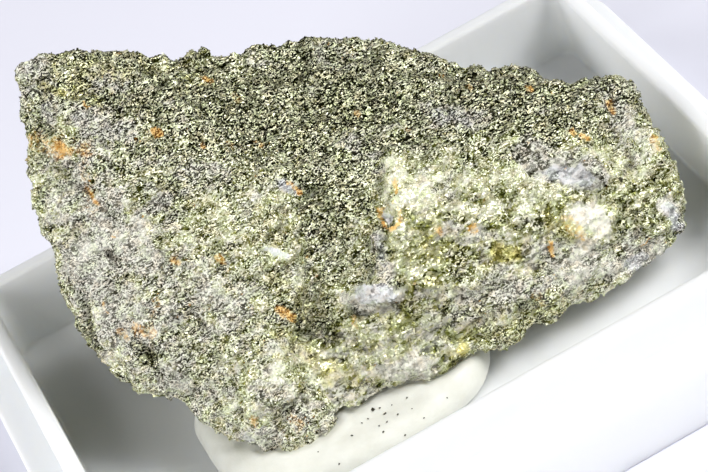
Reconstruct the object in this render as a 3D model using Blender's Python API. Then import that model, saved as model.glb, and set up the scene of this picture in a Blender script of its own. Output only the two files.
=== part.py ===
"""A rough chalcopyrite specimen, fixed with white putty in the base of a small white display box.

Millimetres in the named values below, metres in the scene. The origin is the centre of the box's
underside, +X runs along the box's long side, +Z is up, and the side that shows best faces -Y.
"""

import math

import bmesh
import bpy
from mathutils import Vector, noise

MM = 0.001

# Display box base, driven by its inside, its wall and its foot
INNER_LENGTH = 48.9
INNER_WIDTH = 36.9
INNER_DEPTH = 6.3
WALL = 1.25
FLOOR_HEIGHT = 2.7
LEDGE_DROP = 3.3
LEDGE_REACH = 3.55
FOOT_REACH = 3.7
FOOT_RING = 2.6
FOOT_HOLLOW = 1.4
INNER_CORNER = 1.1
EDGE_ROUND = 0.25
CORNER_STEPS = 6
RIM_HEIGHT = FLOOR_HEIGHT + INNER_DEPTH

# Putty pad, driven by its outline on the floor of the box
GAP = 0.3
PUTTY_CENTRE = (-5.9, -4.7)
PUTTY_HALF_SIZE = (10.5, 8.2)
PUTTY_SQUARENESS = 2.6
PUTTY_TOP = 5.2
PUTTY_ROUND = 1.1
PUTTY_STEPS = 44
PUTTY_RINGS = 9

# Stone, driven by the corners of the blocks that it broke into
STONE_VOXEL = 0.45
STONE_TRIANGLES = 7300
SMOOTH_PASSES = 3
SKIN = 0.16

TALL_BLOCK = (
    # high back edge, from the left corner to the middle of the stone
    (-14.9, 14.0, 27.2), (-12.4, 14.6, 27.0), (-8.0, 14.4, 23.8), (-3.4, 12.7, 21.7),
    (2.6, 11.8, 20.5), (7.4, 11.2, 18.9),
    # left end, downwards
    (-16.4, 13.2, 25.0), (-17.8, 10.6, 22.4), (-18.7, 7.8, 20.0), (-19.7, 5.5, 16.6),
    (-19.6, 7.0, 12.0), (-19.8, 2.7, 11.0), (-19.5, 0.5, 9.8), (-17.8, -2.6, 8.9),
    # front edge of the flat top
    (-13.8, 11.0, 25.1), (-12.2, 5.4, 21.4), (-8.7, 2.1, 18.8), (-4.1, 1.0, 17.5),
    (-1.6, 1.3, 17.0),
    # front slope
    (-17.0, -2.6, 12.0), (-13.7, -3.8, 12.0), (-10.3, -2.8, 13.6),
    (-6.9, -2.2, 12.6), (-7.9, -5.0, 10.2),
    # hidden back and underside
    (-15.0, 16.6, 14.0), (-16.0, 13.0, 7.0), (-2.0, 15.4, 11.0), (5.0, 12.0, 8.5),
    (0.0, 2.0, 5.4), (-6.0, -4.0, 5.4),
)

NOSE_BLOCK = (
    # the low lobe that stands on the putty
    (-11.3, -8.2, 8.9), (-14.8, -3.6, 11.4), (-10.3, -3.0, 13.2), (-8.8, -7.2, 8.4),
    (-6.5, -7.6, 7.4), (-16.4, -3.6, 7.3), (-15.0, -6.2, 6.2), (-13.3, -8.0, 4.8),
    (-11.8, -9.1, 4.3), (-9.9, -9.9, 4.4), (-7.5, -9.4, 5.1), (-12.0, 4.0, 5.0),
    (-4.0, 0.0, 5.5), (-8.0, 2.0, 12.0),
)

VALLEY_BLOCK = (
    # the dark hollow between the two large blocks
    (2.6, 11.4, 20.3), (7.4, 11.0, 18.8), (4.2, 3.0, 16.9), (-1.0, 2.0, 16.4),
    (-0.5, 0.2, 14.6), (0.8, -1.4, 13.0), (-1.5, -1.2, 11.7), (-2.6, -4.2, 9.8),
    (2.6, 0.0, 15.2), (1.5, -2.8, 13.0), (-5.0, -5.0, 8.9), (-6.0, 0.0, 8.0), (2.0, -4.0, 7.0),
    (-7.4, -9.3, 5.2), (-5.2, -9.4, 5.2), (-3.6, -9.6, 5.2), (-5.4, -7.6, 7.3),
    (-5.0, 8.0, 7.0), (5.0, 8.0, 7.0),
)

LOW_BLOCK = (
    # crest between the flat top and the front slope, from the hollow to the right end
    (3.8, -0.4, 16.0), (10.1, -2.4, 15.2), (15.2, -3.2, 14.6), (19.6, -3.0, 13.9),
    # back edge of the flat top
    (7.7, 10.9, 18.6), (9.8, 8.2, 17.3), (11.9, 5.6, 16.9), (15.5, 3.1, 15.1),
    # right end
    (21.1, -5.6, 11.2), (20.5, -7.6, 9.2), (20.5, -9.2, 6.4), (18.7, -10.4, 4.9),
    # front slope, the shelf under it and the edge below that
    (1.2, -5.6, 12.6), (-1.8, -6.6, 10.9), (6.8, -6.9, 11.9), (12.4, -8.0, 11.8),
    (1.9, -8.4, 9.4), (5.9, -8.6, 10.8), (10.8, -9.8, 9.4), (16.3, -9.0, 9.8),
    (15.0, -11.2, 4.9), (11.3, -11.0, 4.7), (7.9, -10.6, 4.9), (2.9, -10.9, 5.1),
    (0.2, -10.5, 5.1), (-3.6, -9.5, 5.1), (-3.4, -8.6, 7.0),
    # hidden back and underside
    (8.0, 10.6, 9.0), (14.0, 6.0, 8.0), (20.0, 1.0, 7.0), (19.6, -3.0, 5.2),
    (-3.0, 7.0, 8.0), (-1.0, -2.0, 5.4),
)

END_BLOCK = (
    # the raised corner at the right end, behind a shallow dip
    (20.5, -0.7, 14.3), (18.6, 0.3, 14.2), (21.5, -2.6, 13.4), (21.4, -4.8, 11.4),
    (18.8, -3.4, 14.3), (20.6, 1.2, 9.0), (17.0, -1.0, 8.0), (20.0, -6.0, 7.0),
)

SLIVER = (
    # a thin chip that still clings to the lower left edge
    (-20.0, 11.6, 9.0), (-20.0, 8.8, 7.4), (-19.6, 6.2, 7.2), (-18.4, 9.0, 6.2),
    (-18.6, 12.6, 8.4), (-18.8, 6.0, 11.0), (-18.8, 11.0, 13.0), (-15.0, 8.0, 8.0),
)

STONE_BLOCKS = (TALL_BLOCK, NOSE_BLOCK, VALLEY_BLOCK, LOW_BLOCK, END_BLOCK, SLIVER)

# Pits and broken-out places: centre, radius and depth
PITS = (
    ((-17.5, 3.6, 8.6), 1.5, 0.7),
    ((-19.6, 10.2, 9.8), 1.3, 0.7),
    ((-19.2, 8.6, 15.4), 1.4, 0.5),
    ((-10.4, -9.0, 7.2), 1.5, 0.7),
    ((7.2, -10.6, 6.2), 1.7, 0.7),
    ((13.0, 3.5, 16.4), 2.4, 0.8),
    ((6.4, -4.2, 14.6), 1.8, 0.5),
    ((-3.6, 5.0, 18.6), 2.6, 0.5),
    ((18.2, -7.2, 10.8), 1.6, 0.6),
    ((-8.0, 16.0, 16.0), 3.0, 0.9),
    ((6.0, 11.0, 13.0), 2.6, 0.8),
)

# Lumps that stand proud of the slopes: centre, radius and height
LUMPS = (
    ((4.0, -3.4, 14.8), 2.2, 0.8),
    ((-4.6, -3.4, 12.0), 2.2, 0.5),
    ((15.4, -7.2, 12.0), 2.4, 0.7),
    ((20.6, -8.6, 8.0), 1.3, 0.6),
    ((-13.0, 9.5, 23.0), 3.0, 0.6),
    ((-14.6, 1.2, 13.6), 2.6, 0.6),
    ((-9.4, -7.6, 9.2), 2.2, 0.5),
    ((11.0, 0.5, 16.2), 2.4, 0.6),
)

# Creases: two ends, half width and depth
CREASES = (
    ((1.0, -2.2, 13.0), (-2.6, -6.0, 9.6), 0.8, 0.4),
    ((-19.6, 11.6, 9.2), (-19.2, 7.6, 7.2), 0.5, 0.6),
    ((1.2, -9.4, 7.6), (3.8, -10.6, 6.0), 0.6, 0.5),
    ((-7.4, -5.8, 9.0), (-4.6, -6.4, 8.4), 0.8, 0.7),
)

# Roughness of the broken surface: wavelength, height and a shift that keeps the three apart
ROUGHNESS = (
    (5.9, 0.50, Vector((3.1, 0.0, 0.0))),
    (2.5, 0.36, Vector((0.0, 7.7, 0.0))),
    (1.2, 0.26, Vector((0.0, 0.0, 5.3))),
)

# Layers that the rock parts along
LAYER_NORMAL = Vector((0.35, 0.50, 0.79))
LAYER_THICKNESS = 2.3
LAYER_BEND = 1.6
LAYER_BEND_LENGTH = 7.7
LAYER_PATCH_LENGTH = 5.0
LAYER_PATCH_SEED = Vector((9.0, 2.0, 0.0))
LAYER_COVER = 0.35
LEDGE_HEIGHT = 0.3


def clear_scene():
    for thing in list(bpy.data.objects):
        bpy.data.objects.remove(thing, do_unlink=True)


def make_material(name, colour, roughness, metallic=0.0):
    material = bpy.data.materials.new(name)
    material.use_nodes = True
    shader = material.node_tree.nodes["Principled BSDF"]
    shader.inputs["Base Color"].default_value = (*colour, 1.0)
    shader.inputs["Roughness"].default_value = roughness
    shader.inputs["Metallic"].default_value = metallic
    return material


def add_object(name, mesh, material=None):
    thing = bpy.data.objects.new(name, mesh)
    bpy.context.scene.collection.objects.link(thing)
    if material:
        mesh.materials.append(material)
    return thing


def mesh_from(bm, name):
    mesh = bpy.data.meshes.new(name)
    bm.normal_update()
    bm.to_mesh(mesh)
    bm.free()
    return mesh


def evaluated_mesh(thing):
    bpy.context.view_layer.update()
    graph = bpy.context.evaluated_depsgraph_get()
    return bpy.data.meshes.new_from_object(thing.evaluated_get(graph))


# Stacked loops, bridged into one closed solid


def rounded_rectangle(half_x, half_y, radius, z):
    """Points of a rectangle with round corners, anticlockwise seen from above."""
    points = []
    for quarter, (sx, sy) in enumerate(((1, 1), (-1, 1), (-1, -1), (1, -1))):
        centre = Vector((sx * (half_x - radius), sy * (half_y - radius), z))
        for step in range(CORNER_STEPS + 1):
            turn = math.radians(90) * (quarter + step / CORNER_STEPS)
            points.append(centre + radius * Vector((math.cos(turn), math.sin(turn), 0)))
    return points


def bridge_stack(loops, name):
    """One closed mesh through loops of as many points each, closed with a face at both ends."""
    bm = bmesh.new()
    rows = [[bm.verts.new(point * MM) for point in loop] for loop in loops]
    count = len(rows[0])
    for lower, upper in zip(rows, rows[1:]):
        for i in range(count):
            j = (i + 1) % count
            bm.faces.new((lower[i], lower[j], upper[j], upper[i]))
    bm.faces.new(list(reversed(rows[0])))
    bm.faces.new(rows[-1])
    bmesh.ops.recalc_face_normals(bm, faces=bm.faces)
    return mesh_from(bm, name)


def make_box_base():
    """Foot ring, skirt, ledge for the lid, neck, rim and tray, as one moulded piece."""
    foot_hollow = FOOT_REACH - FOOT_RING
    profile = (
        # reach outside the tray's wall face, height
        (foot_hollow - 0.3, FOOT_HOLLOW),
        (foot_hollow, 0.0),
        (FOOT_REACH - EDGE_ROUND, 0.0),
        (FOOT_REACH, EDGE_ROUND),
        (LEDGE_REACH, RIM_HEIGHT - LEDGE_DROP - EDGE_ROUND),
        (LEDGE_REACH - EDGE_ROUND, RIM_HEIGHT - LEDGE_DROP),
        (WALL, RIM_HEIGHT - LEDGE_DROP),
        (WALL, RIM_HEIGHT - EDGE_ROUND),
        (WALL - EDGE_ROUND, RIM_HEIGHT),
        (EDGE_ROUND, RIM_HEIGHT),
        (0.0, RIM_HEIGHT - EDGE_ROUND),
        (0.0, FLOOR_HEIGHT + EDGE_ROUND),
        (-EDGE_ROUND, FLOOR_HEIGHT),
    )
    loops = []
    for reach, z in profile:
        radius = max(INNER_CORNER + reach, 0.5)
        loops.append(rounded_rectangle(INNER_LENGTH / 2 + reach, INNER_WIDTH / 2 + reach, radius, z))
    mesh = bridge_stack(loops, "display_box_base")
    white_plastic = make_material("white plastic", (0.86, 0.87, 0.89), 0.35)
    box = add_object("display_box_base", mesh, white_plastic)
    mesh.shade_smooth()
    mesh.set_sharp_from_angle(angle=math.radians(35))
    return box


# Stone


def make_hull(name, corners):
    """The convex block with these corners."""
    bm = bmesh.new()
    made = [bm.verts.new(Vector(corner) * MM) for corner in corners]
    result = bmesh.ops.convex_hull(bm, input=made)
    inside = [item for item in result["geom_interior"] if isinstance(item, bmesh.types.BMVert)]
    bmesh.ops.delete(bm, geom=inside, context="VERTS")
    return add_object(name, mesh_from(bm, name))


def fill_enclosed_voids(bm):
    """Keeps the outer shell only, so that no hollow is left sealed between the blocks."""
    unseen = set(bm.verts)
    shells = []
    while unseen:
        shell = set()
        edge_of_shell = [unseen.pop()]
        while edge_of_shell:
            vert = edge_of_shell.pop()
            shell.add(vert)
            near = {edge.other_vert(vert) for edge in vert.link_edges} & unseen
            unseen -= near
            edge_of_shell.extend(near)
        shells.append(shell)
    outer = max(shells, key=len)
    inner = [vert for vert in bm.verts if vert not in outer]
    bmesh.ops.delete(bm, geom=inner, context="VERTS")


def dome(point, centre, radius):
    """1 at the centre, falling smoothly to 0 at the radius."""
    share = min((point - Vector(centre)).length / radius, 1.0)
    return (1 - share * share) ** 2


def crease_depth(point, start, end, half_width, depth):
    start, end = Vector(start), Vector(end)
    along = end - start
    share = min(max((point - start).dot(along) / along.length_squared, 0.0), 1.0)
    away = (point - start - share * along).length / (2 * half_width)
    return depth * (1 - away) ** 2 if away < 1 else 0.0


def ledge_relief(point):
    """Low steps where the rock parts along tilted layers, only in some places."""
    bend = LAYER_BEND * noise.noise(point / LAYER_BEND_LENGTH)
    share = ((point.dot(LAYER_NORMAL) + bend) / LAYER_THICKNESS) % 1.0
    where = max(0.0, noise.noise(point / LAYER_PATCH_LENGTH + LAYER_PATCH_SEED) + LAYER_COVER)
    return LEDGE_HEIGHT * (share ** 4 - share) * where


def fracture_relief(point):
    """How far the broken surface stands out at a point, in mm: lumps, ledges, pits and creases."""
    relief = SKIN + ledge_relief(point)
    relief += sum(height * noise.noise(point / length + seed) for length, height, seed in ROUGHNESS)
    relief += sum(height * dome(point, centre, radius) for centre, radius, height in LUMPS)
    relief -= sum(depth * dome(point, centre, radius) for centre, radius, depth in PITS)
    relief -= sum(crease_depth(point, *crease) for crease in CREASES)
    return relief


def make_stone():
    """Convex blocks fused into one broken stone, then weathered and thinned to few faces."""
    blocks = [make_hull("block", corners) for corners in STONE_BLOCKS]
    rough = blocks[0]
    for block in blocks[1:]:
        join = rough.modifiers.new("join", "BOOLEAN")
        join.operation = "UNION"
        join.object = block
    regular = rough.modifiers.new("regular", "REMESH")
    regular.mode = "VOXEL"
    regular.voxel_size = STONE_VOXEL * MM
    fused = evaluated_mesh(rough)
    for block in blocks:
        bpy.data.objects.remove(block, do_unlink=True)

    bm = bmesh.new()
    bm.from_mesh(fused)
    fill_enclosed_voids(bm)
    every_axis = {"use_axis_x": True, "use_axis_y": True, "use_axis_z": True}
    for _ in range(SMOOTH_PASSES):
        bmesh.ops.smooth_vert(bm, verts=bm.verts, factor=0.5, **every_axis)
    bm.normal_update()
    moves = [vert.normal * fracture_relief(vert.co / MM) * MM for vert in bm.verts]
    for vert, move in zip(bm.verts, moves):
        vert.co += move
    bmesh.ops.triangulate(bm, faces=bm.faces)
    weathered = mesh_from(bm, "chalcopyrite_stone")

    ore = make_material("brassy ore", (0.30, 0.29, 0.20), 0.5, 0.35)
    stone = add_object("chalcopyrite_stone", weathered, ore)
    thin = stone.modifiers.new("thin", "DECIMATE")
    thin.ratio = STONE_TRIANGLES / len(weathered.polygons)
    stone.data = evaluated_mesh(stone)
    stone.modifiers.clear()
    stone.data.shade_smooth()
    return stone


# Putty


def putty_outline(scale, z):
    """A squarish oval of the pad's outline, seen from above."""
    points = []
    power = 2 / PUTTY_SQUARENESS
    for step in range(PUTTY_STEPS):
        turn = 2 * math.pi * step / PUTTY_STEPS
        c, s = math.cos(turn), math.sin(turn)
        wobble = 1 + 0.03 * noise.noise(Vector((2 * c, 2 * s, 1.5)))
        x = PUTTY_HALF_SIZE[0] * math.copysign(abs(c) ** power, c)
        y = PUTTY_HALF_SIZE[1] * math.copysign(abs(s) ** power, s)
        across = Vector((x, y, 0)) * wobble
        inset = across.normalized() * scale
        points.append(Vector((*PUTTY_CENTRE, z)) + across - inset)
    return points


def make_putty(stone):
    """A pressed pad of putty with a round edge, hollowed where the stone sits in it."""
    bottom = FLOOR_HEIGHT + GAP
    loops = []
    loops.append(putty_outline(0.35, bottom))
    for ring in range(PUTTY_RINGS):
        turn = math.radians(90) * ring / (PUTTY_RINGS - 1)
        inset = PUTTY_ROUND * (1 - math.cos(turn))
        rise = (PUTTY_TOP - bottom - PUTTY_ROUND) + PUTTY_ROUND * math.sin(turn)
        loops.append(putty_outline(inset, bottom + rise))
    mesh = bridge_stack(loops, "putty_pad")
    putty = add_object("putty_pad", mesh, make_material("white putty", (0.88, 0.87, 0.82), 0.7))

    bm = bmesh.new()
    bm.from_mesh(stone.data)
    bm.normal_update()
    for vert in bm.verts:
        vert.co += vert.normal * GAP * MM
    imprint = add_object("imprint", mesh_from(bm, "imprint"))
    regular = imprint.modifiers.new("regular", "REMESH")
    regular.mode = "VOXEL"
    regular.voxel_size = 0.8 * MM
    imprint.hide_render = True
    imprint.display_type = "WIRE"
    press = putty.modifiers.new("press", "BOOLEAN")
    press.operation = "DIFFERENCE"
    press.object = imprint
    return putty


def main():
    clear_scene()
    make_box_base()
    stone = make_stone()
    make_putty(stone)


main()
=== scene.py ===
"""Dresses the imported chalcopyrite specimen: ore, putty and display box, with floor, light and camera.

Metres in the scene, in the frame of the CAD. Named values are in millimetres unless they say otherwise.
"""
import math

import bmesh
import bpy
import numpy as np
from mathutils import Matrix, Vector, noise
from mathutils.bvhtree import BVHTree


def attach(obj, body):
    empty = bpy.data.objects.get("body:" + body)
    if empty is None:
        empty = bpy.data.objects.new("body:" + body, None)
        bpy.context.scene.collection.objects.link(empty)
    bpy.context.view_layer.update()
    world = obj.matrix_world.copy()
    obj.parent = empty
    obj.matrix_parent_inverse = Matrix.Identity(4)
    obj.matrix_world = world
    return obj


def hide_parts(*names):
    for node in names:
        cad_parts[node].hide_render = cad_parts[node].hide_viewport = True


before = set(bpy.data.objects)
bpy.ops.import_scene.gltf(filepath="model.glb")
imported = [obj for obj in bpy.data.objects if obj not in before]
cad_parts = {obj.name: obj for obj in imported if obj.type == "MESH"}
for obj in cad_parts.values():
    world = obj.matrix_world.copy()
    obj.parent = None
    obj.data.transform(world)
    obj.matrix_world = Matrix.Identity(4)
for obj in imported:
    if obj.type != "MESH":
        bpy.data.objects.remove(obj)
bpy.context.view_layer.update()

MM = 0.001
STONE, PUTTY, BOX = "chalcopyrite_stone", "putty_pad", "display_box_base"

# Picture frame in pixels, and the camera
PICTURE = (708, 472)
FOCAL_PIXELS = 2700
SENSOR_WIDTH = 36.0
CAMERA_PLACE = (-23.67, -148.05, 126.84)
CAMERA_AZIMUTH = 9.01
CAMERA_ELEVATION = 37.64
CAMERA_ROLL = -23.26
CLIP_START = 10.0

# Soft lamps: direction towards the lamp, distance, width, and power in watts
LAMPS = {
    "key": ((0.612, -0.354, 0.707), 620.0, 320.0, 2.65),
    "right": ((0.707, 0.0, 0.707), 620.0, 320.0, 1.6),
    "left": ((-0.814, 0.470, 0.342), 620.0, 320.0, 1.55),
    "front_left": ((-0.814, -0.470, 0.342), 620.0, 320.0, 1.95),
    "high_left": ((-0.612, -0.354, 0.707), 620.0, 320.0, 0.9),
}
WORLD_COLOUR = (0.95, 0.97, 1.0, 1.0)
WORLD_STRENGTH = 0.02

# Floor under the box
FLOOR_HALF_SIZE = 1200.0
FLOOR_CELLS = 8

# Box profile: reach outside the tray's wall face and height, as in the CAD
INNER_LENGTH = 48.9
INNER_WIDTH = 36.9
FLOOR_HEIGHT = 2.7
RIM_HEIGHT = 9.0
WALL = 1.25
LEDGE_HEIGHT = 5.7
LEDGE_REACH = 3.55
FOOT_REACH = 3.7
FOOT_HOLLOW_REACH = 1.1
FOOT_HOLLOW = 1.4
INNER_CORNER = 1.1
SMALLEST_CORNER = 0.5
ROUND = 0.3
BEND_STEPS = 6
CORNER_STEPS = 12

# Putty
PUTTY_CENTRE = (-5.9, -4.7)
PUTTY_HALF_SIZE = (10.7, 8.35)
PUTTY_SQUARENESS = 2.6
PUTTY_TOP = 4.9
PUTTY_ROUND = 1.3
PUTTY_STEPS = 88
PUTTY_RINGS = 12
PUTTY_VOXEL = 0.2
PUTTY_SMOOTH_STEPS = 4
# The pad's two lowest loops: inset and height over the tray's floor
PUTTY_FOOT = ((0.5, -0.02), (0.12, 0.2))
# Waves pressed into its top: height, wavelength and seed
PUTTY_WAVES = ((0.10, 3.0, (1, 2, 3)), (0.05, 1.1, (4, 2, 3)))
# The raised lip round the stone and the dip at the contact, as heights
LIP_HEIGHT = 0.16
LIP_DISTANCE = 0.7
LIP_SPREAD = 0.16
DIP_DEPTH = 0.12
DIP_REACH = 0.25

# Stone
STONE_VOXEL = 0.21
SMOOTH_STEPS = 5
SMOOTH_FACTOR = 0.5
# Streaks run in this direction, in degrees above the right of the picture, and are this many times
# longer than wide
STREAK_ANGLE = 27
STREAK_STRETCH = 1.8
# From the stone towards the camera, and how fast a face counts as hidden when it turns away
TOWARDS_VIEW = (-0.12, -0.78, 0.61)
HIDDEN_GAIN = 2.5

# Fracture relief of the stone, each kind as height, wavelength and seed
SWELLS = (0.20, 2.1, (2.0, 4.0, 1.0))
RIDGES = (0.13, 1.0, (1.0, 0.0, 8.0))
TERRACES = (0.24, 2.3, (6.0, 2.0, 2.0))
CHIPS = (0.20, 0.6, (0.0, 3.0, 6.0))
GRIT = (0.10, 0.42, (7.0, 1.0, 4.0))
TERRACE_COUNT = 2.3
CHIP_EDGE = 4
RELIEF_DEPTH = 0.4
RELIEF_SINK = 0.06
# What bends the ridges, terraces and chips: share, wavelength and a seed for each axis
BEND = 0.5
BEND_LENGTH = 1.7
BEND_SEEDS = ((5, 0, 0), (0, 9, 0), (0, 0, 3))

# Noise that makes the strokes' edges ragged, in relief and in zones: share, wavelength and seed
RELIEF_EDGE = ((0.5, 0.9, (3, 1, 4)),)
ZONE_EDGE = ((0.55, 1.3, (3, 1, 4)), (0.35, 0.5, (1, 5, 9)))
# Broad changes of tone, and veins of grey
BROAD = ((1.0, 5.5, (2, 6, 5)), (0.6, 2.2, (3, 5, 8)))
VEINS = ((1.0, 4.0, (9, 7, 9)), (0.6, 1.6, (3, 2, 3)))
BROAD_TONE = 0.15
VEIN_GREY = 0.22
HIDDEN_GREY = 0.15

# Strokes on the stone. Each has two ends in pixels of the picture, carried onto the surface so that it
# lies on the stone, then a radius in mm and a value. In RELIEF the value is a height in mm: pits, cracks
# and ledges go down, lumps go up. In PATCHES it is how much the stroke adds to the zone.
RELIEF = (
    (143, 352, 151, 357, 0.55, -0.8),
    (90, 334, 95, 345, 0.35, -0.7),
    (109, 254, 111, 258, 0.35, -0.35),
    (303, 397, 307, 402, 0.35, -0.5),
    (457, 338, 485, 320, 0.28, -0.5),
    (85, 309, 102, 348, 0.34, -0.85),
    (84, 318, 93, 342, 0.5, 0.35),
    (377, 152, 380, 232, 0.8, -0.40),
    (394, 152, 397, 228, 1.0, 0.28),
    (305, 200, 330, 262, 1.6, -0.25),
    (308, 332, 326, 316, 0.35, -0.45),
    (296, 345, 310, 330, 0.3, -0.35),
    (358, 298, 381, 291, 0.75, 0.55),
    (352, 308, 392, 307, 0.35, -0.35),
    (584, 222, 598, 226, 1.2, 0.25),
    (668, 214, 678, 226, 0.7, 0.30),
    (637, 262, 645, 260, 0.6, 0.30),
    (388, 215, 390, 223, 0.45, -0.25),
    (270, 249, 288, 258, 0.28, 0.22),
    (155, 131, 158, 134, 0.32, 0.25),
    (60, 172, 84, 190, 0.3, -0.35),
    (44, 152, 60, 170, 0.25, -0.30),
    (398, 140, 470, 132, 0.35, -0.35),
    (150, 62, 190, 56, 0.4, -0.30),
    (540, 128, 560, 118, 0.4, -0.40),
    (315, 195, 322, 205, 0.5, -0.40),
    (230, 104, 262, 128, 0.5, -0.30),
    (170, 64, 215, 60, 2.4, -0.50),
    (238, 54, 275, 48, 2.4, -0.75),
    (412, 54, 448, 62, 1.8, -0.50),
    (28, 84, 30, 145, 1.2, -0.35),
    (186, 50, 196, 50, 1.0, -0.30),
    (203, 50, 204, 52, 0.6, -0.50),
    (206, 58, 222, 60, 1.2, 0.30),
    (31, 66, 35, 62, 1.3, 0.38),
    (154, 398, 166, 402, 0.9, -0.35),
    (634, 106, 656, 148, 2.2, 0.55),
    (86, 330, 148, 388, 1.3, 0.20),
    (645, 260, 670, 246, 1.0, -0.30),
)

# Crumbs of ore on the putty: place in the picture and size in mm
CRUMBS = (
    (373, 410, 0.20),
    (380, 408, 0.10),
    (385, 414, 0.13),
    (398, 415, 0.10),
    (387, 422, 0.11),
    (379, 426, 0.09),
    (383, 432, 0.10),
    (424, 418, 0.09),
    (352, 436, 0.10),
    (405, 435, 0.08),
    (339, 464, 0.09),
    (407, 398, 0.09),
    (362, 423, 0.08),
    (392, 405, 0.07),
    (412, 409, 0.06),
    (368, 419, 0.07),
    (447, 398, 0.07),
    (318, 452, 0.06),
)

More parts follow.
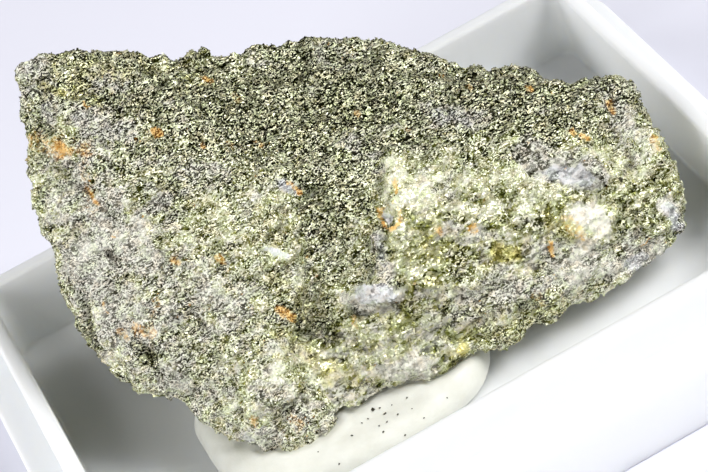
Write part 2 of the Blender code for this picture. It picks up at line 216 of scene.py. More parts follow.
PATCHES = {
    # share of the way from the full range of grains to bright grains only: grain tone, with painted shade over
    # the top band, in the valley beside the right block, in pits and cracks and under the quartz lump, and
    # painted light on the right block's lit faces
    "tone": (
        (70, 80, 200, 88, 3.5, -0.18),
        (60, 72, 600, 88, 4.5, -0.17),
        (300, 62, 345, 100, 2.4, -0.16),
        (530, 158, 590, 178, 1.3, -0.22),
        (140, 110, 360, 80, 5.0, -0.26),
        (400, 82, 560, 98, 4.2, -0.24),
        (200, 150, 330, 150, 3.4, -0.14),
        (310, 60, 340, 75, 1.6, -0.22),
        (235, 110, 265, 140, 2.0, -0.16),
        (298, 150, 325, 165, 1.3, -0.24),
        (430, 62, 450, 66, 1.2, -0.18),
        (410, 115, 450, 120, 1.8, -0.14),
        (528, 92, 555, 125, 1.8, -0.22),
        (570, 82, 600, 88, 1.2, -0.20),
        (310, 190, 330, 265, 1.8, -0.20),
        (345, 150, 374, 200, 1.5, -0.20),
        (115, 180, 160, 200, 2.0, -0.12),
        (290, 308, 325, 330, 1.3, -0.34),
        (268, 290, 285, 300, 0.8, -0.20),
        (144, 350, 152, 356, 0.9, -0.60),
        (88, 335, 98, 342, 0.6, -0.50),
        (108, 255, 112, 258, 0.45, -0.36),
        (495, 290, 530, 300, 1.6, -0.10),
        (455, 320, 480, 326, 0.9, -0.16),
        (290, 410, 303, 418, 0.8, -0.25),
        (440, 250, 560, 285, 2.4, 0.06),
        (340, 345, 460, 350, 2.0, 0.06),
        (225, 400, 300, 430, 2.4, 0.10),
        (395, 182, 540, 190, 2.4, 0.28),
        (396, 190, 415, 250, 1.8, 0.26),
        (396, 172, 436, 205, 1.0, 0.25),
        (200, 240, 290, 265, 1.6, 0.14),
        (560, 140, 640, 130, 2.0, 0.20),
        (560, 190, 670, 170, 2.8, 0.18),
        (584, 222, 600, 224, 1.4, 0.35),
        (205, 205, 285, 205, 1.3, 0.18),
        (266, 248, 277, 252, 0.22, 0.80),
        (276, 252, 287, 256, 0.36, 0.80),
        (290, 364, 320, 374, 1.5, 0.30),
        (100, 320, 130, 325, 1.0, 0.16),
        (190, 370, 260, 370, 1.9, 0.10),
        (150, 212, 180, 260, 1.9, 0.08),
        (250, 120, 345, 165, 3.4, -0.16),
        (290, 62, 360, 104, 2.8, -0.40),
        (80, 76, 130, 84, 2.4, -0.07),
        (470, 94, 545, 106, 2.8, -0.07),
        (170, 110, 250, 130, 2.8, -0.05),
        (250, 92, 350, 95, 3.0, -0.12),
        (360, 88, 420, 108, 2.8, -0.14),
        (430, 95, 560, 112, 3.2, -0.17),
        (150, 95, 230, 112, 3.2, -0.14),
        (420, 205, 540, 215, 2.4, -0.07),
        (120, 300, 200, 360, 3.2, -0.08),
        (470, 302, 600, 284, 2.0, 0.15),
        (152, 130, 160, 135, 0.35, 0.40),
        (380, 214, 399, 226, 0.6, 0.25),
        (32, 142, 60, 150, 0.9, 0.14),
        (463, 350, 478, 354, 0.7, 0.10),
        (300, 84, 350, 86, 2.8, -0.14),
        (80, 78, 120, 82, 2.2, -0.08),
        (470, 98, 530, 104, 2.6, -0.08),
        (450, 270, 545, 272, 2.4, -0.11),
        (600, 262, 640, 258, 1.8, 0.09),
        (146, 354, 149, 356, 0.7, -0.5),
        (86, 309, 102, 348, 0.26, -1.0),
        (86, 320, 94, 342, 0.5, -0.20),
        (88, 336, 93, 342, 0.4, -0.5),
        (584, 218, 598, 226, 1.0, 0.45),
        (358, 299, 382, 291, 0.7, 0.36),
        (393, 303, 408, 311, 0.35, -0.45),
    ),
    # share of grey and white grains among the brassy ones
    "grey": (
        (30, 66, 50, 110, 1.3, 0.45),
        (100, 78, 122, 84, 0.9, 0.55),
        (75, 112, 125, 128, 1.1, 0.50),
        (92, 160, 112, 250, 1.6, 0.42),
        (60, 170, 90, 255, 1.9, 0.35),
        (82, 270, 135, 320, 2.3, 0.38),
        (150, 240, 220, 300, 2.6, 0.26),
        (110, 210, 140, 260, 1.6, 0.30),
        (120, 350, 210, 395, 2.4, 0.25),
        (215, 432, 262, 440, 1.2, 0.50),
        (270, 395, 320, 430, 1.6, 0.25),
        (432, 108, 480, 122, 0.9, 0.60),
        (525, 150, 590, 168, 1.2, 0.50),
        (552, 172, 592, 182, 1.0, 0.75),
        (350, 140, 384, 165, 0.9, 0.40),
        (355, 302, 392, 296, 0.9, 1.00),
        (376, 236, 386, 280, 0.7, 0.60),
        (280, 184, 292, 190, 0.4, 0.90),
        (388, 217, 390, 221, 0.3, 1.00),
        (455, 232, 480, 240, 0.9, 0.35),
        (560, 262, 640, 252, 1.8, 0.40),
        (440, 310, 520, 300, 1.6, 0.30),
        (612, 108, 642, 150, 1.0, 0.40),
        (470, 284, 640, 266, 2.0, 0.22),
        (584, 214, 598, 224, 1.0, 0.70),
        (666, 205, 680, 225, 0.8, 0.80),
        (632, 262, 648, 264, 0.7, 0.80),
        (255, 60, 280, 75, 0.8, 0.35),
        (190, 170, 230, 180, 1.1, 0.20),
        (340, 340, 420, 350, 1.8, 0.25),
        (345, 388, 425, 374, 1.3, 0.45),
        (130, 300, 300, 420, 5.0, 0.10),
        (400, 190, 520, 200, 2.5, 0.10),
        (272, 345, 300, 352, 0.7, 0.55),
        (150, 188, 162, 196, 0.5, 0.40),
        (240, 80, 350, 150, 4.8, -0.14),
        (440, 92, 560, 115, 3.4, -0.14),
        (100, 68, 200, 90, 3.2, -0.10),
        (144, 352, 150, 357, 0.8, -0.60),
    ),
    # strong yellow-olive tarnish
    "olive": (
        (70, 88, 90, 100, 0.9, 0.35),
        (100, 62, 200, 66, 1.6, 0.22),
        (190, 78, 212, 84, 0.6, 0.3),
        (60, 68, 112, 74, 1.1, 0.22),
        (280, 282, 305, 310, 1.0, 0.35),
        (285, 340, 305, 352, 1.1, 0.40),
        (497, 250, 513, 253, 0.6, 0.65),
        (548, 222, 572, 234, 0.8, 0.40),
        (330, 368, 350, 378, 0.9, 0.40),
        (464, 350, 476, 354, 0.6, 0.80),
        (485, 330, 560, 310, 1.4, 0.25),
        (400, 320, 440, 300, 1.6, 0.20),
        (440, 245, 540, 262, 1.5, 0.20),
        (45, 86, 56, 92, 0.4, 0.60),
    ),
    # rust
    "rust": (
        (203, 77, 212, 82, 0.28, 1.0),
        (32, 140, 58, 148, 0.7, 0.50),
        (60, 140, 84, 150, 0.7, 0.34),
        (84, 150, 112, 160, 0.5, 0.24),
        (60, 145, 70, 152, 0.4, 0.5),
        (26, 160, 30, 185, 0.4, 0.5),
        (84, 104, 89, 107, 0.2, 0.9),
        (137, 139, 140, 141, 0.2, 0.8),
        (154, 130, 158, 134, 0.3, 1.8),
        (201, 144, 203, 147, 0.2, 0.9),
        (257, 141, 262, 145, 0.3, 0.6),
        (228, 142, 232, 146, 0.25, 0.5),
        (288, 183, 299, 192, 0.16, 1.0),
        (396, 182, 397, 192, 0.26, 0.9),
        (379, 213, 383, 224, 0.22, 0.8),
        (383, 225, 392, 229, 0.26, 0.9),
        (393, 228, 400, 222, 0.22, 0.8),
        (400, 220, 398, 210, 0.2, 0.6),
        (380, 210, 388, 205, 0.18, 0.5),
        (438, 230, 440, 233, 0.25, 0.7),
        (472, 228, 474, 231, 0.26, 0.7),
        (550, 243, 551, 249, 0.24, 1.0),
        (551, 252, 552, 256, 0.22, 0.8),
        (572, 132, 574, 134, 0.24, 1.0),
        (582, 136, 588, 140, 0.24, 1.0),
        (608, 104, 613, 112, 0.24, 0.9),
        (528, 87, 531, 91, 0.24, 0.9),
        (468, 86, 472, 90, 0.2, 0.6),
        (406, 128, 409, 130, 0.18, 0.8),
        (356, 112, 358, 115, 0.18, 0.8),
        (280, 309, 292, 318, 0.38, 1.0),
        (290, 318, 294, 322, 0.25, 0.9),
        (120, 331, 125, 334, 0.4, 0.6),
        (136, 328, 150, 334, 0.45, 0.5),
        (152, 318, 158, 300, 0.35, 0.4),
        (173, 259, 178, 262, 0.32, 0.8),
        (218, 258, 223, 262, 0.3, 0.8),
        (104, 305, 107, 312, 0.2, 0.7),
        (566, 222, 576, 232, 0.7, 0.50),
        (590, 234, 604, 228, 0.6, 0.22),
        (84, 168, 92, 212, 0.5, 0.30),
        (650, 238, 642, 246, 0.14, 1.0),
        (652, 138, 658, 148, 0.3, 0.7),
        (252, 418, 256, 424, 0.25, 0.6),
        (292, 418, 300, 424, 0.4, 0.5),
        (354, 316, 356, 326, 0.25, 0.6),
        (534, 296, 540, 300, 0.4, 0.4),
        (88, 190, 96, 202, 0.2, 0.6),
        (236, 95, 240, 100, 0.3, 0.5),
    ),
    # clear bluish quartz
    "quartz": (
        (360, 298, 382, 291, 0.72, 1.30),
        (379, 238, 384, 264, 0.4, 0.55),
        (266, 248, 277, 252, 0.2, 0.75),
        (276, 252, 287, 256, 0.32, 0.80),
        (556, 174, 588, 179, 0.7, 0.80),
        (528, 154, 575, 166, 0.8, 0.30),
        (282, 184, 291, 190, 0.35, 0.80),
        (387, 216, 391, 222, 0.35, 0.90),
        (668, 208, 678, 226, 0.6, 0.80),
        (632, 262, 646, 256, 0.6, 0.70),
        (30, 68, 48, 100, 0.7, 0.40),
        (78, 116, 122, 126, 0.7, 0.40),
        (218, 434, 250, 440, 0.8, 0.50),
        (500, 300, 560, 290, 1.4, 0.30),
        (440, 112, 470, 120, 0.6, 0.50),
    ),
    # larger and softer grains
    "soft": (
        (400, 230, 420, 260, 2.6, 0.7),
        (440, 220, 560, 230, 2.8, 0.6),
        (340, 350, 440, 350, 2.6, 0.8),
        (420, 310, 470, 318, 1.8, 0.35),
        (580, 200, 660, 200, 2.4, 0.5),
        (590, 222, 600, 226, 1.4, 0.6),
        (250, 370, 320, 375, 2.2, 0.4),
        (345, 388, 425, 374, 1.3, 0.6),
        (380, 345, 440, 350, 1.6, 0.3),
        (450, 262, 560, 285, 2.0, 0.22),
        (360, 296, 392, 300, 1.1, 0.8),
        (530, 154, 580, 166, 1.2, 0.55),
        (556, 172, 592, 182, 0.9, 0.60),
    ),
}
BASE_VALUES = {"tone": 0.29, "grey": 0.22, "olive": 0.0, "rust": 0.0, "quartz": 0.0, "soft": 0.0}
# The last zone is the relief's clipped height, which paints shade into hollows and light onto ridges
ZONES = (*BASE_VALUES, "depth")

# Colours of the kinds of grain, from the darkest grain to the brightest: place and colour from 0 to 255
# The brass ramp's darkest stops are painted shade between grains and its brightest are painted glints.
BRASS_WITH_GLINTS = (
    (0.0, (12, 14, 0)),
    (0.3, (56, 59, 3)),
    (0.55, (126, 128, 62)),
    (0.8, (205, 206, 166)),
    (1.0, (253, 254, 230)),
)
STONE_GREY = (
    (0.0, (40, 38, 24)),
    (0.3, (99, 97, 84)),
    (0.55, (163, 162, 153)),
    (0.8, (210, 208, 197)),
    (1.0, (252, 250, 238)),
)
TARNISH = ((0.0, (50, 48, 8)), (0.5, (154, 148, 70)), (1.0, (244, 236, 150)))
IRON = ((0.0, (118, 72, 18)), (0.5, (220, 162, 78)), (1.0, (253, 216, 138)))
CLEAR = ((0.0, (80, 81, 82)), (0.5, (174, 175, 176)), (1.0, (242, 243, 244)))
TINT = ((0.36, (250, 255, 242)), (0.5, (255, 255, 255)), (0.66, (255, 248, 240)))
MIDDLE = (0.5, 0.5, 0.5, 1.0)
# Cells per mm that stand for fine grains and for the larger, softer ones
FINE_CELLS = 11.0
SOFT_CELLS = 5.0

# Separate grains: spacing, smallest and largest size, corners, seed, and where they grow
GRAINS = {
    "brassy_grains": (0.27, (0.05, 0.13), 3, 11, lambda zones: 1.1 - zones["grey"]),
    "fine_grains": (0.28, (0.045, 0.09), 3, 13, lambda zones: 1 - zones["soft"]),
    "grey_grains": (0.38, (0.05, 0.12), 4, 12, lambda zones: 0.2 + zones["grey"]),
}
SOFT_GROWTH = 0.5
CRUMB_LIFT = 0.3
CRUMB_SIDES = 4
CRUMB_SEED = 5


# Camera, light and floor


def link(thing):
    bpy.context.scene.collection.objects.link(thing)
    return thing


def add_camera():
    data = bpy.data.cameras.new("camera")
    data.sensor_width = SENSOR_WIDTH
    data.lens = SENSOR_WIDTH * FOCAL_PIXELS / PICTURE[0]
    data.clip_start = CLIP_START * MM
    camera = link(bpy.data.objects.new("camera", data))
    turn = Matrix.Rotation(-math.radians(CAMERA_AZIMUTH), 4, "Z")
    turn @= Matrix.Rotation(math.radians(90 - CAMERA_ELEVATION), 4, "X")
    turn @= Matrix.Rotation(math.radians(CAMERA_ROLL), 4, "Z")
    camera.matrix_world = Matrix.Translation(Vector(CAMERA_PLACE) * MM) @ turn
    bpy.context.scene.camera = camera
    bpy.context.view_layer.update()
    return camera


def add_softbox(name, towards, distance, width, watts):
    data = bpy.data.lights.new(name, "AREA")
    data.shape = "DISK"
    data.size = width * MM
    data.energy = watts
    lamp = link(bpy.data.objects.new(name, data))
    direction = Vector(towards).normalized()
    lamp.matrix_world = (
        Matrix.Translation(direction * distance * MM) @ direction.to_track_quat("Z", "Y").to_matrix().to_4x4()
    )
    return lamp


def add_world():
    world = bpy.data.worlds.new("studio")
    bpy.context.scene.world = world
    world.use_nodes = True
    backdrop = world.node_tree.nodes["Background"]
    backdrop.inputs["Color"].default_value = WORLD_COLOUR
    backdrop.inputs["Strength"].default_value = WORLD_STRENGTH


# Node graphs


class Graph:
    """A material's nodes, added one at a time and wired by name."""

    def __init__(self, name):
        self.material = bpy.data.materials.new(name)
        self.material.use_nodes = True
        self.tree = self.material.node_tree
        self.shader = self.tree.nodes["Principled BSDF"]

    def add(self, kind, inputs=None, **settings):
        made = self.tree.nodes.new("ShaderNode" + kind)
        for key, value in settings.items():
            setattr(made, key, value)
        for key, value in (inputs or {}).items():
            self.put(made, key, value)
        return made

    def put(self, made, key, value):
        if isinstance(value, bpy.types.NodeSocket):
            self.tree.links.new(value, made.inputs[key])
        else:
            made.inputs[key].default_value = value

    def finish(self, **inputs):
        for key, value in inputs.items():
            self.put(self.shader, key.replace("_", " "), value)
        return self.material

    def place(self):
        """Position on the piece in millimetres."""
        where = self.add("TexCoord").outputs["Object"]
        return self.vector("SCALE", where, Scale=1 / MM)

    def vector(self, operation, a, b=None, **named):
        made = self.add("VectorMath", {0: a}, operation=operation)
        if b is not None:
            self.put(made, 1, b)
        for key, value in named.items():
            self.put(made, key, value)
        return made.outputs["Value" if operation in ("LENGTH", "DOT_PRODUCT") else "Vector"]

    def math(self, operation, a, b=None, clamp=False):
        made = self.add("Math", {0: a}, operation=operation, use_clamp=clamp)
        if b is not None:
            self.put(made, 1, b)
        return made.outputs[0]

    def mix(self, share, a, b, blend="MIX"):
        made = self.add("Mix", data_type="RGBA", blend_type=blend)
        self.put(made, 0, share)
        self.put(made, 6, a)
        self.put(made, 7, b)
        return made.outputs[2]

    def ramp(self, share, stops):
        """stops: place and colour from 0 to 255."""
        made = self.add("ValToRGB", {"Fac": share})
        while len(made.color_ramp.elements) < len(stops):
            made.color_ramp.elements.new(1.0)
        for element, (where, colour) in zip(made.color_ramp.elements, stops):
            element.position = where
            element.color = linear(colour)
        return made.outputs["Color"]

    def span(self, value, low, high, to_low=0.0, to_high=1.0, smooth=False):
        made = self.add("MapRange", {0: value, 1: low, 2: high, 3: to_low, 4: to_high}, clamp=True)
        if smooth:
            made.interpolation_type = "SMOOTHSTEP"
        return made.outputs[0]

    def noise(self, where, scale, detail=2.0, roughness=0.5):
        return self.add(
            "TexNoise", {"Vector": where, "Scale": scale, "Detail": detail, "Roughness": roughness}
        ).outputs["Fac"]

    def cells(self, where, scale):
        return self.add("TexVoronoi", {"Vector": where, "Scale": scale})

    def attribute(self, name):
        return self.add("Attribute", attribute_name=name).outputs["Fac"]


def linear(colour):
    """A colour from 0 to 255 as a picture holds it, for a node."""
    shares = [value / 255 for value in colour]
    return (*(s / 12.92 if s <= 0.04045 else ((s + 0.055) / 1.055) ** 2.4 for s in shares), 1.0)


# Box


def rounded_rectangle(reach, z):
    """Loop of the box at this reach outside the tray's wall face, anticlockwise from above."""
    radius = max(INNER_CORNER + reach, SMALLEST_CORNER)
    points = []
    for quarter, (sx, sy) in enumerate(((1, 1), (-1, 1), (-1, -1), (1, -1))):
        centre_x = sx * (INNER_LENGTH / 2 + reach - radius)
        centre_y = sy * (INNER_WIDTH / 2 + reach - radius)
        for step in range(CORNER_STEPS + 1):
            turn = math.radians(90) * (quarter + step / CORNER_STEPS)
            points.append((centre_x + radius * math.cos(turn), centre_y + radius * math.sin(turn), z))
    return points


def rounded_profile(corners):
    """The corners (reach, z, rounding), each turned into a short curve."""
    made = []
    for i, (x, z, rounding) in enumerate(corners):
        here = Vector((x, z))
        if rounding == 0 or i in (0, len(corners) - 1):
            made.append(here)
            continue
        before = (Vector(corners[i - 1][:2]) - here).normalized() * rounding
        after = (Vector(corners[i + 1][:2]) - here).normalized() * rounding
        for step in range(BEND_STEPS + 1):
            t = step / BEND_STEPS
            made.append(here + (1 - t) ** 2 * before + t ** 2 * after)
    return made


def bridge(loops, name):
    """One closed mesh through loops of as many points each."""
    bm = bmesh.new()
    rows = [[bm.verts.new(Vector(point) * MM) for point in loop] for loop in loops]
    count = len(rows[0])
    for lower, upper in zip(rows, rows[1:]):
        for i in range(count):
            j = (i + 1) % count
            bm.faces.new((lower[i], lower[j], upper[j], upper[i]))
    bm.faces.new(list(reversed(rows[0])))
    bm.faces.new(rows[-1])
    bmesh.ops.recalc_face_normals(bm, faces=bm.faces)
    mesh = bpy.data.meshes.new(name)
    bm.to_mesh(mesh)
    bm.free()
    return mesh


def box_material():
    g = Graph("moulded white plastic")
    where = g.place()
    flow = g.noise(where, 0.05, 3.0)
    speck = g.noise(where, 2.3, 4.0, 0.6)
    dust = g.cells(where, 0.8)
    grain = g.span(dust.outputs["Distance"], 0.02, 0.07, 1.0, 0.0)
    rare = g.math("GREATER_THAN", dust.outputs["Color"], 0.86)
    dusty = g.math("MULTIPLY", g.math("MULTIPLY", grain, rare), 0.55)
    base = g.ramp(flow, ((0.3, (240, 242, 244)), (0.7, (244, 246, 248))))
    colour = g.mix(dusty, base, linear((120, 118, 108)))
    rough = g.span(speck, 0.3, 0.7, 0.28, 0.42)
    bump = g.add("Bump", {"Strength": 0.06, "Distance": 0.00004, "Height": speck}).outputs[0]
    return g.finish(
        Base_Color=colour,
        Roughness=rough,
        Normal=bump,
        Subsurface_Weight=0.9,
        Subsurface_Radius=(1.0, 0.97, 0.9),
        Subsurface_Scale=0.002,
    )


def make_box():
    corners = (
        (FOOT_HOLLOW_REACH - 0.3, FOOT_HOLLOW, 0),
        (FOOT_HOLLOW_REACH, 0.0, 0.12),
        (FOOT_REACH, 0.0, 0.25),
        (LEDGE_REACH, LEDGE_HEIGHT, ROUND),
        (WALL, LEDGE_HEIGHT, 0.2),
        (WALL, RIM_HEIGHT, ROUND),
        (0.0, RIM_HEIGHT, ROUND),
        (0.0, FLOOR_HEIGHT, 0.35),
        (-1.2, FLOOR_HEIGHT, 0),
    )
    loops = [rounded_rectangle(reach, z) for reach, z in rounded_profile(corners)]
    mesh = bridge(loops, "box_base")
    mesh.shade_smooth()
    box = link(bpy.data.objects.new("box_base", mesh))
    mesh.materials.append(box_material())
    split = box.modifiers.new("flat faces", "WEIGHTED_NORMAL")
    split.keep_sharp = True
    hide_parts(BOX)
    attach(box, "root")
    return box


# Stone


def remeshed(source, voxel, name):
    """A fine, even copy of a node's mesh."""
    copy = link(bpy.data.objects.new(name, source.data.copy()))
    even = copy.modifiers.new("even", "REMESH")
    even.mode = "VOXEL"
    even.voxel_size = voxel * MM
    bpy.context.view_layer.update()
    fine = bpy.data.meshes.new_from_object(copy.evaluated_get(bpy.context.evaluated_depsgraph_get()))
    bpy.data.objects.remove(copy, do_unlink=True)
    fine.name = name
    return fine


def read_points(mesh):
    flat = np.empty(len(mesh.vertices) * 3)
    mesh.vertices.foreach_get("co", flat)
    return flat.reshape(-1, 3) / MM


def write_points(mesh, points):
    mesh.vertices.foreach_set("co", (points * MM).ravel())
    mesh.update()


def read_normals(mesh):
    flat = np.empty(len(mesh.vertices) * 3)
    mesh.vertices.foreach_get("normal", flat)
    return flat.reshape(-1, 3)


def smoothed(mesh, values, steps):
    """Values on the vertices, averaged with their neighbours."""
    ends = np.empty(len(mesh.edges) * 2, dtype=np.int64)
    mesh.edges.foreach_get("vertices", ends)
    a, b = ends[0::2], ends[1::2]
    count = np.zeros(len(values))
    np.add.at(count, a, 1)
    np.add.at(count, b, 1)
    flat = values.reshape(len(values), -1)
    for _ in range(steps):
        total = np.zeros_like(flat)
        for axis in range(flat.shape[1]):
            total[:, axis] = np.bincount(a, flat[b, axis], len(values))
            total[:, axis] += np.bincount(b, flat[a, axis], len(values))
        flat = flat + SMOOTH_FACTOR * (total / count[:, None] - flat)
    return flat.reshape(values.shape)


def noise_at(points, length, seed):
    """Smooth noise from about -1 to 1 with this wavelength at every point."""
    shift = Vector(seed)
    return np.fromiter((noise.noise(Vector(p) / length + shift) for p in points), float, len(points))


def layered(points, layers, start=0.0):
    """Noise summed over layers of share, wavelength and seed."""
    return sum((share * noise_at(points, length, seed) for share, length, seed in layers), start)


def ridges_at(points, length, seed):
    return 1 - 2 * np.abs(noise_at(points, length, seed))


def cells_at(points, length, seed):
    """For every point how much further the second cell centre is than the first, and the cell's value."""
    shift = Vector(seed)
    gap, value = np.empty(len(points)), np.empty(len(points))
    for i, p in enumerate(points):
        distances, centres = noise.voronoi(Vector(p) / length + shift)
        gap[i] = distances[1] - distances[0]
        value[i] = noise.cell(centres[0] * 7.31)
    return gap, value


def search_tree(mesh):
    return BVHTree.FromPolygons([v.co for v in mesh.vertices], [tuple(p.vertices) for p in mesh.polygons])


def streak_direction(camera):
    """The direction of the streaks on the stone, as seen by the camera."""
    turn = math.radians(STREAK_ANGLE)
    return camera.matrix_world.to_3x3() @ Vector((math.cos(turn), math.sin(turn), 0))


def squeezed(points, streak):
    """Points drawn together along the streaks, so that noise there comes out longer than wide."""
    along = np.array(streak)
    return points - (1 - 1 / STREAK_STRETCH) * (points @ along)[:, None] * along


def displaced(mesh, camera):
    """Ledges, pits, cracks and fine fracture relief on the stone; keeps the clipped height as a zone that
    paints shade into the hollows and light onto the ridges.
    """
    points = smoothed(mesh, read_points(mesh), SMOOTH_STEPS)
    write_points(mesh, points)
    normals = read_normals(mesh)
    warp = np.stack([noise_at(points, BEND_LENGTH, seed) for seed in BEND_SEEDS], axis=1)
    bent = squeezed(points, streak_direction(camera)) + BEND * warp
    height, *kind = SWELLS
    relief = height * noise_at(points, *kind)
    height, *kind = RIDGES
    relief += height * ridges_at(bent, *kind)
    height, *kind = TERRACES
    relief += height * ((noise_at(bent, *kind) * TERRACE_COUNT) % 1 - 0.5)
    height, *kind = CHIPS
    gap, value = cells_at(bent, *kind)
    relief += height * (value - 0.5) * np.clip(gap * CHIP_EDGE, 0, 1)
    height, *kind = GRIT
    relief += height * noise_at(points, *kind)
    # The clipped height is kept to paint shade into the hollows and light onto the ridges
    depth = np.clip(relief, -RELIEF_DEPTH, RELIEF_DEPTH)
    tree = search_tree(mesh)
    ragged = layered(points, RELIEF_EDGE, 1.0)
    for u0, v0, u1, v1, radius, height in RELIEF:
        ends = surface_at(tree, camera, u0, v0), surface_at(tree, camera, u1, v1)
        relief += height * stroke_share(points, *ends, radius, ragged)
    write_points(mesh, points + normals * (relief - RELIEF_SINK)[:, None])
    store = mesh.attributes.new("depth", "FLOAT", "POINT")
    store.data.foreach_set("value", depth)


def surface_at(tree, camera, u, v):
    """The point in mm where the camera sees this pixel on the stone, or the nearest one."""
    turn = camera.matrix_world.to_3x3()
    ray = turn @ Vector(((u - PICTURE[0] / 2), -(v - PICTURE[1] / 2), -FOCAL_PIXELS)).normalized()
    start = camera.matrix_world.translation
    hit = tree.ray_cast(start, ray)[0]
    if hit is None:
        middle = start + ray * start.length
        hit = tree.find_nearest(middle)[0]
    return np.array(hit) / MM


def stroke_share(points, start, end, radius, warp):
    """1 inside a stroke from start to end, falling to 0 at its ragged edge."""
    along = end - start
    length = max(float(along @ along), 1e-9)
    share = np.clip((points - start) @ along / length, 0, 1)
    away = np.linalg.norm(points - start - share[:, None] * along, axis=1)
    level = np.clip((1.25 - away / radius * warp) / 0.6, 0, 1)
    return level * level * (3 - 2 * level)


def write_zones(mesh, camera):
    """Stores on every vertex which kinds of grain grow there and how bright they are; the tone strokes paint
    light and shade among them.
    """
    points = read_points(mesh)
    tree = search_tree(mesh)
    warp = layered(points, ZONE_EDGE, 1.0)
    broad = layered(points, BROAD)
    veins = layered(points, VEINS)
    normals = read_normals(mesh)
    away_from_view = np.clip(normals @ np.array(TOWARDS_VIEW) * -HIDDEN_GAIN, 0, 1)
    for name, strokes in PATCHES.items():
        values = np.full(len(points), BASE_VALUES[name])
        for u0, v0, u1, v1, radius, amount in strokes:
            ends = surface_at(tree, camera, u0, v0), surface_at(tree, camera, u1, v1)
            values += amount * stroke_share(points, *ends, radius, warp)
        if name == "tone":
            values += BROAD_TONE * broad
        if name == "grey":
            values += VEIN_GREY * veins + HIDDEN_GREY * away_from_view
        if name == "rust":
            values += np.clip(veins * broad * 1.2 - 0.25, 0, 0.5) * away_from_view
        store = mesh.attributes.new(name, "FLOAT", "POINT")
        store.data.foreach_set("value", values)


def make_stone(camera):
    mesh = remeshed(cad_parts[STONE], STONE_VOXEL, "chalcopyrite")
    displaced(mesh, camera)
    write_zones(mesh, camera)
    mesh.shade_smooth()
    mesh.materials.clear()
    mesh.materials.append(ore_material("brassy ore", streak_direction(camera)))
    stone = link(bpy.data.objects.new("chalcopyrite", mesh))
    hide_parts(STONE)
    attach(stone, "root")
    return stone


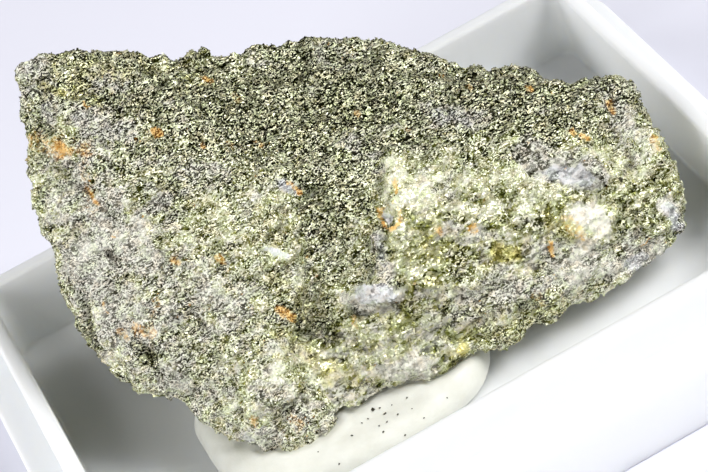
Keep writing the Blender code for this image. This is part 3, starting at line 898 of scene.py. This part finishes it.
def ore_material(name, streak, loose=False):
    """Brassy, grey, tarnished and rusty grains, shared out by the stored zones and by noise, with painted
    light and shade from the tone strokes, the relief and the brass ramp's ends.
    """
    g = Graph(name)
    where = g.place()
    tone, grey, olive, rust, quartz, soft, depth = (g.attribute(zone) for zone in ZONES)
    along = g.vector("DOT_PRODUCT", where, tuple(streak))
    excess = g.math("MULTIPLY", along, 1 - 1 / STREAK_STRETCH)
    drawn = g.vector("SUBTRACT", where, g.vector("SCALE", tuple(streak), Scale=excess))

    def varied(value, share, by):
        """The value plus noise around 0."""
        return g.math("ADD", value, g.math("MULTIPLY", g.math("SUBTRACT", share, 0.5), by))

    if loose:
        cell = g.add("Attribute", attribute_name="chance").outputs["Color"]
        chance, kind, kind_two = g.add("SeparateColor", {0: cell}).outputs
        wear = g.noise(where, 9.0, 3.0, 0.6)
        surface = g.add("Bump", {"Strength": 0.4, "Distance": 0.00003, "Height": wear}).outputs[0]
    else:
        normal = g.add("NewGeometry").outputs["Normal"]
        wander = g.add("TexNoise", {"Vector": where, "Scale": 2.5, "Detail": 2.0}).outputs["Color"]
        bent = g.vector("ADD", drawn, g.vector("SCALE", wander, Scale=0.3))
        fine = g.cells(bent, FINE_CELLS).outputs
        broad = g.cells(bent, SOFT_CELLS).outputs
        in_soft = g.span(varied(soft, g.noise(where, 2.0), 1.2), 0.45, 0.55)
        cell = g.mix(in_soft, fine["Color"], broad["Color"])
        chance, kind, kind_two = g.add("SeparateColor", {0: cell}).outputs
        tilt = g.vector("SUBTRACT", cell, MIDDLE[:3])
        tilted = g.vector("NORMALIZE", g.vector("ADD", normal, g.vector("SCALE", tilt, Scale=0.9)))
        domes = g.math("MULTIPLY", g.mix(in_soft, fine["Distance"], broad["Distance"]), -1.0)
        surface = g.add(
            "Bump", {"Strength": 0.5, "Distance": 0.0001, "Height": domes, "Normal": tilted}
        ).outputs[0]

    # How bright the darkest grains are here: tone strokes with their painted light and shade, painted shade in
    # the relief's hollows and painted light on its ridges, and clusters of dark ones
    low = varied(tone, g.noise(drawn, 1.15, 4.0, 0.62), 2.4)
    low = g.math("ADD", low, g.math("MULTIPLY", depth, 0.5))
    clusters = g.span(g.noise(where, 1.5, 3.0, 0.6), 0.58, 0.68, 0.0, 0.5)
    low = g.math("SUBTRACT", low, clusters)
    # In soft zones the grains differ less
    chance = varied(chance, g.noise(where, 11.0, 2.0, 0.7), 1.2)
    calm = g.span(soft, 0.3, 1.1, 0.1, 0.6)
    chance = g.mix(calm, g.span(chance, 0.26, 0.74, smooth=True), MIDDLE)
    spread = g.math("SUBTRACT", 1.0, low)
    grain = g.math("ADD", low, g.math("MULTIPLY", chance, spread), clamp=True)
    brass_with_glints = g.ramp(grain, BRASS_WITH_GLINTS)
    stone_grey = g.ramp(grain, STONE_GREY)
    tarnish = g.ramp(grain, TARNISH)
    iron = g.ramp(grain, IRON)
    clear = g.ramp(grain, CLEAR)
    patch = varied(grey, g.noise(drawn, 1.1, 5.0, 0.65), 2.4)
    share_grey = g.span(varied(patch, kind, 0.4), 0.2, 0.8, smooth=True)
    share_olive = g.span(varied(olive, g.noise(where, 1.9, 3.0, 0.6), 1.2), 0.15, 0.9, 0.0, 0.85)
    stain = g.math(
        "MULTIPLY",
        g.span(g.noise(where, 0.45, 2.0), 0.5, 0.62),
        g.span(g.noise(where, 2.4, 2.0, 0.6), 0.62, 0.74, 0.0, 0.8),
    )
    rusty = g.math("ADD", rust, stain)
    share_rust = g.span(varied(rusty, g.noise(where, 3.8, 3.0, 0.6), 1.6), 0.3, 1.0, 0.0, 0.9)
    share_quartz = g.span(varied(quartz, g.noise(where, 2.6, 3.0, 0.6), 1.0), 0.3, 0.8, smooth=True)
    warmth = g.noise(where, 1.3, 3.0, 0.6)
    tint = g.ramp(warmth, TINT)
    colour = g.mix(share_grey, brass_with_glints, stone_grey)
    colour = g.mix(share_olive, colour, tarnish)
    colour = g.mix(share_quartz, colour, clear)
    colour = g.mix(share_rust, colour, iron)
    colour = g.mix(1.0, colour, tint, "MULTIPLY")
    dull = g.math("MAXIMUM", g.math("MAXIMUM", share_grey, share_quartz), share_rust)
    metal = g.span(dull, 0.0, 1.0, 0.55, 0.0)
    rough = varied(g.span(dull, 0.0, 1.0, 0.34, 0.55), kind_two, 0.24)
    return g.finish(Base_Color=colour, Roughness=rough, Metallic=metal, Normal=surface, Specular_IOR_Level=0.1)


# Loose grains


def grains_mesh(name, points, normals, size, sides, draw):
    """Angular grains as one mesh, each a tilted face with a few corners over a point sunk in the stone."""
    count = len(points)
    across = np.cross(normals, draw.normal(size=(count, 3)))
    across /= np.linalg.norm(across, axis=1)[:, None]
    other = np.cross(normals, across)
    corners = np.zeros((count, sides + 1, 3))
    for side in range(sides):
        turn = 2 * np.pi * (side + draw.uniform(-0.28, 0.28, count)) / sides
        reach = size * draw.uniform(0.7, 1.3, count)
        height = size * draw.uniform(-0.35, 0.6, count)
        corners[:, side] = (
            points
            + across * (reach * np.cos(turn))[:, None]
            + other * (reach * np.sin(turn))[:, None]
            + normals * height[:, None]
        )
    corners[:, sides] = points - normals * (1.1 * size)[:, None]
    pattern = [(0, side, side + 1) for side in range(1, sides - 1)]
    pattern += [((side + 1) % sides, side, sides) for side in range(sides)]
    faces = np.array(pattern)[None] + (sides + 1) * np.arange(count)[:, None, None]
    mesh = bpy.data.meshes.new(name)
    mesh.from_pydata((corners.reshape(-1, 3) * MM).tolist(), [], faces.reshape(-1, 3).tolist())
    return mesh


def grow_grains(name, stone_mesh, spacing, sizes, sides, chosen, material, seed):
    """Grains sunk in the stone, one in each cell of a fine grid where the zones ask for them."""
    draw = np.random.default_rng(seed)
    points, normals = read_points(stone_mesh), read_normals(stone_mesh)
    zones = {key: read_zone(stone_mesh, key) for key in ZONES}
    order = draw.permutation(len(points))
    order = order[draw.random(len(order)) < chosen(zones)[order]]
    cells = np.floor(points[order] / spacing).astype(np.int64)
    _, first = np.unique(cells @ np.array((1, 5000, 25000000)), return_index=True)
    roots = order[first]
    count = len(roots)
    low, high = sizes
    size = low + (high - low) * draw.random(count) ** 2
    size *= 1 + SOFT_GROWTH * np.clip(zones["soft"][roots], 0, 1)
    mesh = grains_mesh(name, points[roots], normals[roots], size, sides, draw)
    corners = sides + 1
    for key, values in zones.items():
        store = mesh.attributes.new(key, "FLOAT", "POINT")
        store.data.foreach_set("value", np.repeat(values[roots], corners))
    store = mesh.attributes.new("chance", "FLOAT_COLOR", "POINT")
    dice = np.concatenate([draw.random((count, 3)), np.ones((count, 1))], axis=1)
    store.data.foreach_set("color", np.repeat(dice, corners, axis=0).ravel())
    mesh.materials.append(material)
    grains = link(bpy.data.objects.new(name, mesh))
    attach(grains, "root")
    return grains


def read_zone(mesh, name):
    values = np.empty(len(mesh.vertices))
    mesh.attributes[name].data.foreach_get("value", values)
    return values


# Putty


def putty_outline(inset, z):
    points = []
    power = 2 / PUTTY_SQUARENESS
    for step in range(PUTTY_STEPS):
        turn = 2 * math.pi * step / PUTTY_STEPS
        c, s = math.cos(turn), math.sin(turn)
        wobble = 1 + 0.03 * noise.noise(Vector((2 * c, 2 * s, 1.5)))
        x = PUTTY_HALF_SIZE[0] * math.copysign(abs(c) ** power, c)
        y = PUTTY_HALF_SIZE[1] * math.copysign(abs(s) ** power, s)
        across = Vector((x, y, 0)) * wobble
        points.append(Vector((*PUTTY_CENTRE, z)) + across - across.normalized() * inset)
    return points


def putty_material():
    g = Graph("pressed white putty")
    where = g.place()
    mottle = g.noise(where, 0.6, 4.0, 0.6)
    fine = g.noise(where, 6.0, 3.0, 0.6)
    colour = g.ramp(mottle, ((0.3, (221, 221, 211)), (0.7, (231, 231, 223))))
    bump = g.add("Bump", {"Strength": 0.25, "Distance": 0.00008, "Height": fine}).outputs[0]
    return g.finish(
        Base_Color=colour,
        Roughness=g.span(fine, 0.3, 0.7, 0.45, 0.7),
        Normal=bump,
        Subsurface_Weight=0.3,
        Subsurface_Radius=(1.0, 0.9, 0.75),
        Subsurface_Scale=0.0008,
    )


def make_putty(stone_mesh):
    loops = [putty_outline(inset, FLOOR_HEIGHT + height) for inset, height in PUTTY_FOOT]
    for ring in range(PUTTY_RINGS):
        turn = math.radians(90) * ring / (PUTTY_RINGS - 1)
        inset = PUTTY_ROUND * (1 - math.cos(turn))
        loops.append(putty_outline(inset, PUTTY_TOP - PUTTY_ROUND + PUTTY_ROUND * math.sin(turn)))
    mesh = bridge(loops, "putty")
    raw = bpy.data.objects.new("raw putty", mesh)
    mesh = remeshed(raw, PUTTY_VOXEL, "putty")
    bpy.data.objects.remove(raw, do_unlink=True)
    points = smoothed(mesh, read_points(mesh), PUTTY_SMOOTH_STEPS)
    write_points(mesh, points)
    normals = read_normals(mesh)
    stone_tree = search_tree(stone_mesh)
    away = np.empty(len(points))
    for i, p in enumerate(points):
        away[i] = stone_tree.find_nearest(Vector(p) * MM)[3] / MM
    top = np.clip((normals[:, 2] - 0.3) / 0.5, 0, 1)
    lip = LIP_HEIGHT * np.exp(-((away - LIP_DISTANCE) ** 2) / LIP_SPREAD)
    lip = (lip - DIP_DEPTH * np.exp(-((away / DIP_REACH) ** 2))) * top
    waves = layered(points, PUTTY_WAVES)
    above = np.clip((points[:, 2] - FLOOR_HEIGHT) / 1.0, 0, 1)
    points = points + normals * ((waves * above)[:, None])
    points[:, 2] += lip
    write_points(mesh, points)
    mesh.shade_smooth()
    mesh.materials.clear()
    mesh.materials.append(putty_material())
    putty = link(bpy.data.objects.new("putty", mesh))
    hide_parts(PUTTY)
    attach(putty, "root")
    return putty


def crumb_material():
    g = Graph("dark ore crumbs")
    speck = g.noise(g.place(), 8.0, 3.0, 0.6)
    colour = g.ramp(speck, ((0.3, (26, 25, 18)), (0.7, (72, 68, 52))))
    return g.finish(Base_Color=colour, Roughness=g.span(speck, 0.3, 0.7, 0.35, 0.6))


def scatter_crumbs(putty, camera):
    """The crumbs lie on the putty where the camera sees them."""
    mesh = putty.data
    tree = search_tree(mesh)
    points = np.array([surface_at(tree, camera, u, v) for u, v, _ in CRUMBS])
    normals = np.array([tree.find_nearest(Vector(point) * MM)[1] for point in points])
    sizes = np.array([size for _, _, size in CRUMBS])
    lifted = points + normals * CRUMB_LIFT * sizes[:, None]
    draw = np.random.default_rng(CRUMB_SEED)
    made = grains_mesh("putty_crumbs", lifted, normals, sizes, CRUMB_SIDES, draw)
    made.materials.append(crumb_material())
    crumbs = link(bpy.data.objects.new("putty_crumbs", made))
    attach(crumbs, "root")
    return crumbs


def make_floor():
    bm = bmesh.new()
    bmesh.ops.create_grid(bm, x_segments=FLOOR_CELLS, y_segments=FLOOR_CELLS, size=FLOOR_HALF_SIZE * MM)
    mesh = bpy.data.meshes.new("floor")
    bm.to_mesh(mesh)
    bm.free()
    g = Graph("pale table")
    soft = g.noise(g.place(), 0.004, 2.0)
    colour = g.ramp(soft, ((0.3, (225, 225, 237)), (0.7, (228, 228, 239))))
    mesh.materials.append(g.finish(Base_Color=colour, Roughness=0.7))
    floor = link(bpy.data.objects.new("floor", mesh))
    return floor


camera = add_camera()
add_world()
for name, values in LAMPS.items():
    add_softbox(name, *values)
bpy.context.scene.view_settings.view_transform = "Standard"
make_floor()
make_box()
stone = make_stone(camera)
loose_ore = ore_material("loose ore grains", streak_direction(camera), loose=True)
for name, (spacing, sizes, sides, seed, chosen) in GRAINS.items():
    grow_grains(name, stone.data, spacing, sizes, sides, chosen, loose_ore, seed)
putty = make_putty(stone.data)
scatter_crumbs(putty, camera)
